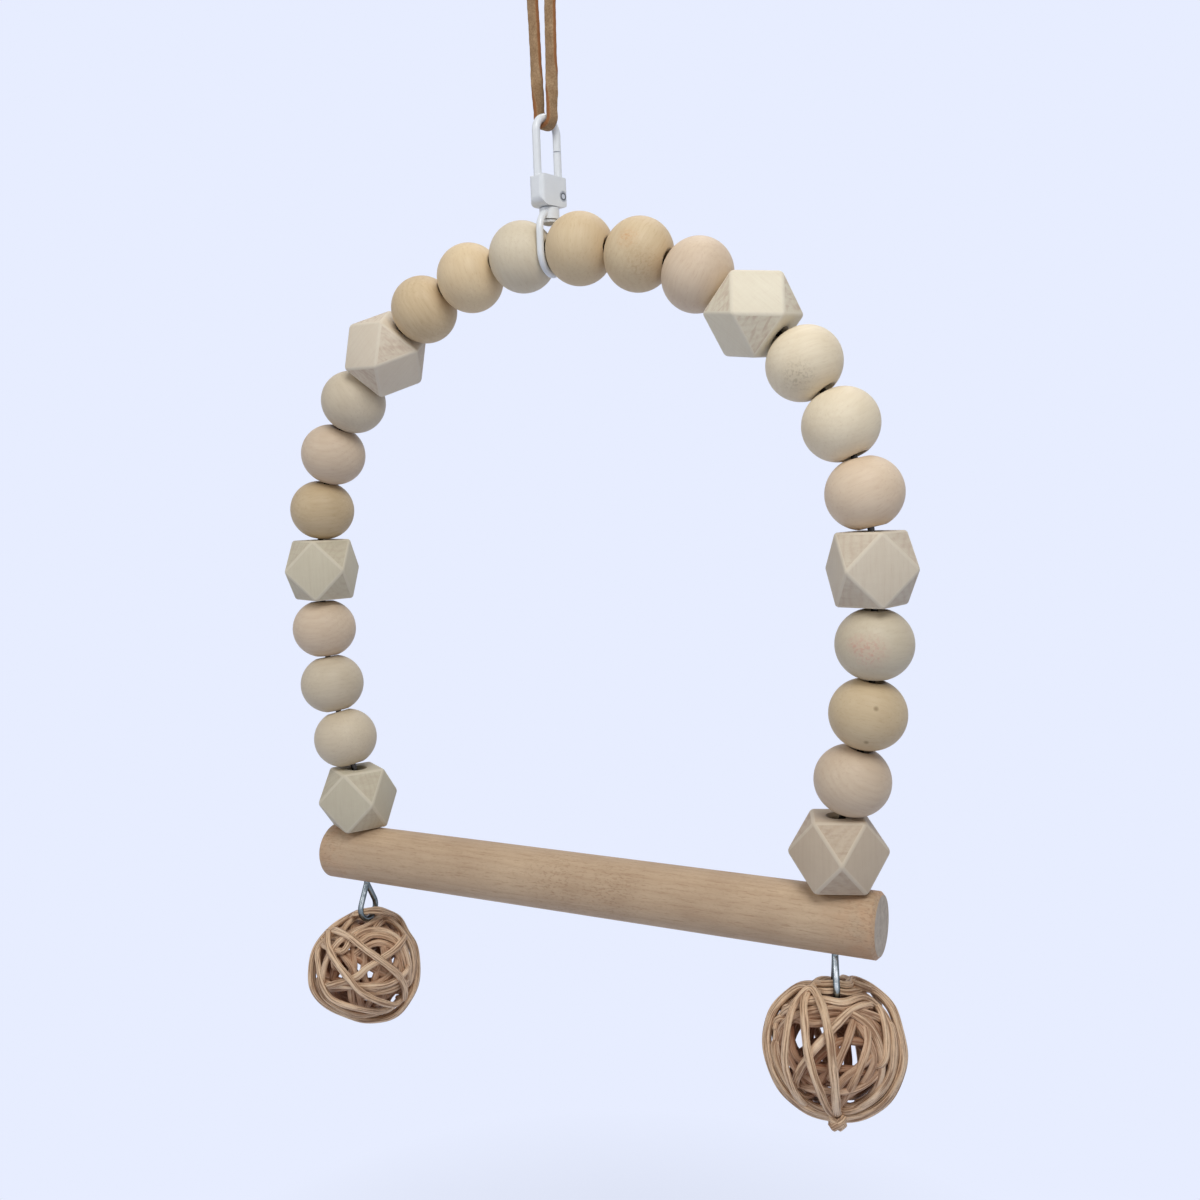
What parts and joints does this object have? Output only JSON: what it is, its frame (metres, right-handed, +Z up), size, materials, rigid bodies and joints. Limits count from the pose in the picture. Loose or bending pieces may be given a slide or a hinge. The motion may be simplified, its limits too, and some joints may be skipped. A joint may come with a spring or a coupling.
{
  "type": "bird swing",
  "caption": "Hanging swing for a cage bird: wooden beads on a bent wire arch over a dowel perch, a rattan ball under each end, hung by a swivel snap clasp on a suede lace.",
  "frame": {"origin": "the hanging point, inside the lace loop just under its knot", "axes": "+X along the perch to the right-hand ball, +Z up, +Y away from the viewer of the front"},
  "size_m": [0.184, 0.0326, 0.2991],
  "materials": {
    "suede": "matte suede",
    "white_lacquer": "satin white lacquer",
    "rivet_steel": "satin",
    "galvanised_wire": "dull galvanised",
    "perch_wood": "bare sanded dowel",
    "bead_wood": "bare polished wood",
    "faceted_bead_wood": "bare cut wood",
    "rattan": "bare rattan"
  },
  "bodies": {
    "lace": {"lace": "suede", "lace_knot": "suede"},
    "clasp": {"clasp_body": "white_lacquer", "gate_pin": "rivet_steel", "gate_coil": "rivet_steel", "swivel_post": "white_lacquer"},
    "gate": {"gate": "white_lacquer"},
    "ring": {"swivel_ring": "white_lacquer"},
    "arch": {"arch_wire": "galvanised_wire", "perch": "perch_wood"},
    "ball_left": {"rattan_ball_left": "rattan"},
    "ball_right": {"rattan_ball_right": "rattan"},
    "bead_left_01": {"bead_left_01": "faceted_bead_wood"},
    "bead_left_02": {"bead_left_02": "bead_wood"},
    "bead_left_03": {"bead_left_03": "bead_wood"},
    "bead_left_04": {"bead_left_04": "bead_wood"},
    "bead_left_05": {"bead_left_05": "faceted_bead_wood"},
    "bead_left_06": {"bead_left_06": "bead_wood"},
    "bead_left_07": {"bead_left_07": "bead_wood"},
    "bead_left_08": {"bead_left_08": "bead_wood"},
    "bead_left_09": {"bead_left_09": "faceted_bead_wood"},
    "bead_left_10": {"bead_left_10": "bead_wood"},
    "bead_left_11": {"bead_left_11": "bead_wood"},
    "bead_left_12": {"bead_left_12": "bead_wood"},
    "bead_right_01": {"bead_right_01": "faceted_bead_wood"},
    "bead_right_02": {"bead_right_02": "bead_wood"},
    "bead_right_03": {"bead_right_03": "bead_wood"},
    "bead_right_04": {"bead_right_04": "bead_wood"},
    "bead_right_05": {"bead_right_05": "faceted_bead_wood"},
    "bead_right_06": {"bead_right_06": "bead_wood"},
    "bead_right_07": {"bead_right_07": "bead_wood"},
    "bead_right_08": {"bead_right_08": "bead_wood"},
    "bead_right_09": {"bead_right_09": "faceted_bead_wood"},
    "bead_right_10": {"bead_right_10": "bead_wood"},
    "bead_right_11": {"bead_right_11": "bead_wood"},
    "bead_right_12": {"bead_right_12": "bead_wood"}
  },
  "joints": [
    {"name": "clasp_swing", "type": "hinge", "parent": "lace", "child": "clasp", "pos_m": [0, 0, -0.033], "axis": [0.2419, 0.9703, 0], "range_deg": [-60, 60]},
    {"name": "gate_hinge", "type": "hinge", "parent": "clasp", "child": "gate", "pos_m": [0.00068, 0.00272, -0.052], "axis": [0.9703, -0.2419, 0], "range_deg": [0, 20], "stiffness_Nm_per_rad": 0.004, "springref_deg": -20.05},
    {"name": "ring_swivel", "type": "hinge", "parent": "clasp", "child": "ring", "pos_m": [0, 0, -0.05505], "axis": [0, 0, 1], "continuous": true},
    {"name": "arch_swing", "type": "hinge", "parent": "ring", "child": "arch", "pos_m": [0, 0, -0.06589], "axis": [1, 0, 0], "range_deg": [-75, 75]},
    {"name": "ball_left_swing", "type": "hinge", "parent": "arch", "child": "ball_left", "pos_m": [-0.07002, 0, -0.24552], "axis": [1, 0, 0], "range_deg": [-45, 45]},
    {"name": "ball_right_swing", "type": "hinge", "parent": "arch", "child": "ball_right", "pos_m": [0.07002, 0, -0.24552], "axis": [0.9397, 0.342, 0], "range_deg": [-45, 45]},
    {"name": "bead_left_01_spin", "type": "hinge", "parent": "arch", "child": "bead_left_01", "pos_m": [-0.07131, 0, -0.21252], "axis": [0, 0, 1], "continuous": true},
    {"name": "bead_left_02_spin", "type": "hinge", "parent": "arch", "child": "bead_left_02", "pos_m": [-0.07487, 0, -0.19518], "axis": [-0.2756, 0, 0.9613], "continuous": true},
    {"name": "bead_left_03_spin", "type": "hinge", "parent": "arch", "child": "bead_left_03", "pos_m": [-0.07867, 0, -0.1793], "axis": [-0.1706, 0, 0.9853], "continuous": true},
    {"name": "bead_left_04_spin", "type": "hinge", "parent": "arch", "child": "bead_left_04", "pos_m": [-0.0804, 0, -0.16306], "axis": [-0.0407, 0, 0.9992], "continuous": true},
    {"name": "bead_left_05_spin", "type": "hinge", "parent": "arch", "child": "bead_left_05", "pos_m": [-0.0805, 0, -0.14578], "axis": [0.0024, 0, 1], "continuous": true},
    {"name": "bead_left_06_spin", "type": "hinge", "parent": "arch", "child": "bead_left_06", "pos_m": [-0.07861, 0, -0.12863], "axis": [0.2154, 0, 0.9765], "continuous": true},
    {"name": "bead_left_07_spin", "type": "hinge", "parent": "arch", "child": "bead_left_07", "pos_m": [-0.07342, 0, -0.11296], "axis": [0.41, 0, 0.9121], "continuous": true},
    {"name": "bead_left_08_spin", "type": "hinge", "parent": "arch", "child": "bead_left_08", "pos_m": [-0.06515, 0, -0.09868], "axis": [0.5874, 0, 0.8093], "continuous": true},
    {"name": "bead_left_09_spin", "type": "hinge", "parent": "arch", "child": "bead_left_09", "pos_m": [-0.05358, 0, -0.08589], "axis": [0.7464, 0, 0.6655], "continuous": true},
    {"name": "bead_left_10_spin", "type": "hinge", "parent": "arch", "child": "bead_left_10", "pos_m": [-0.03955, 0, -0.07585], "axis": [0.871, 0, 0.4912], "continuous": true},
    {"name": "bead_left_11_spin", "type": "hinge", "parent": "arch", "child": "bead_left_11", "pos_m": [-0.02441, 0, -0.06926], "axis": [0.9529, 0, 0.3033], "continuous": true},
    {"name": "bead_left_12_spin", "type": "hinge", "parent": "arch", "child": "bead_left_12", "pos_m": [-0.00825, 0, -0.06589], "axis": [0.9947, 0, 0.1025], "continuous": true},
    {"name": "bead_right_01_spin", "type": "hinge", "parent": "arch", "child": "bead_right_01", "pos_m": [0.07131, 0, -0.21252], "axis": [0, 0, 1], "continuous": true},
    {"name": "bead_right_02_spin", "type": "hinge", "parent": "arch", "child": "bead_right_02", "pos_m": [0.07487, 0, -0.19518], "axis": [0.2756, 0, 0.9613], "continuous": true},
    {"name": "bead_right_03_spin", "type": "hinge", "parent": "arch", "child": "bead_right_03", "pos_m": [0.07867, 0, -0.1793], "axis": [0.1706, 0, 0.9853], "continuous": true},
    {"name": "bead_right_04_spin", "type": "hinge", "parent": "arch", "child": "bead_right_04", "pos_m": [0.0804, 0, -0.16306], "axis": [0.0407, 0, 0.9992], "continuous": true},
    {"name": "bead_right_05_spin", "type": "hinge", "parent": "arch", "child": "bead_right_05", "pos_m": [0.0805, 0, -0.14578], "axis": [-0.0024, 0, 1], "continuous": true},
    {"name": "bead_right_06_spin", "type": "hinge", "parent": "arch", "child": "bead_right_06", "pos_m": [0.07861, 0, -0.12863], "axis": [-0.2154, 0, 0.9765], "continuous": true},
    {"name": "bead_right_07_spin", "type": "hinge", "parent": "arch", "child": "bead_right_07", "pos_m": [0.07342, 0, -0.11296], "axis": [-0.41, 0, 0.9121], "continuous": true},
    {"name": "bead_right_08_spin", "type": "hinge", "parent": "arch", "child": "bead_right_08", "pos_m": [0.06515, 0, -0.09868], "axis": [-0.5874, 0, 0.8093], "continuous": true},
    {"name": "bead_right_09_spin", "type": "hinge", "parent": "arch", "child": "bead_right_09", "pos_m": [0.05358, 0, -0.08589], "axis": [-0.7464, 0, 0.6655], "continuous": true},
    {"name": "bead_right_10_spin", "type": "hinge", "parent": "arch", "child": "bead_right_10", "pos_m": [0.03955, 0, -0.07585], "axis": [-0.871, 0, 0.4912], "continuous": true},
    {"name": "bead_right_11_spin", "type": "hinge", "parent": "arch", "child": "bead_right_11", "pos_m": [0.02441, 0, -0.06926], "axis": [-0.9529, 0, 0.3033], "continuous": true},
    {"name": "bead_right_12_spin", "type": "hinge", "parent": "arch", "child": "bead_right_12", "pos_m": [0.00825, 0, -0.06589], "axis": [-0.9947, 0, 0.1025], "continuous": true}
  ]
}
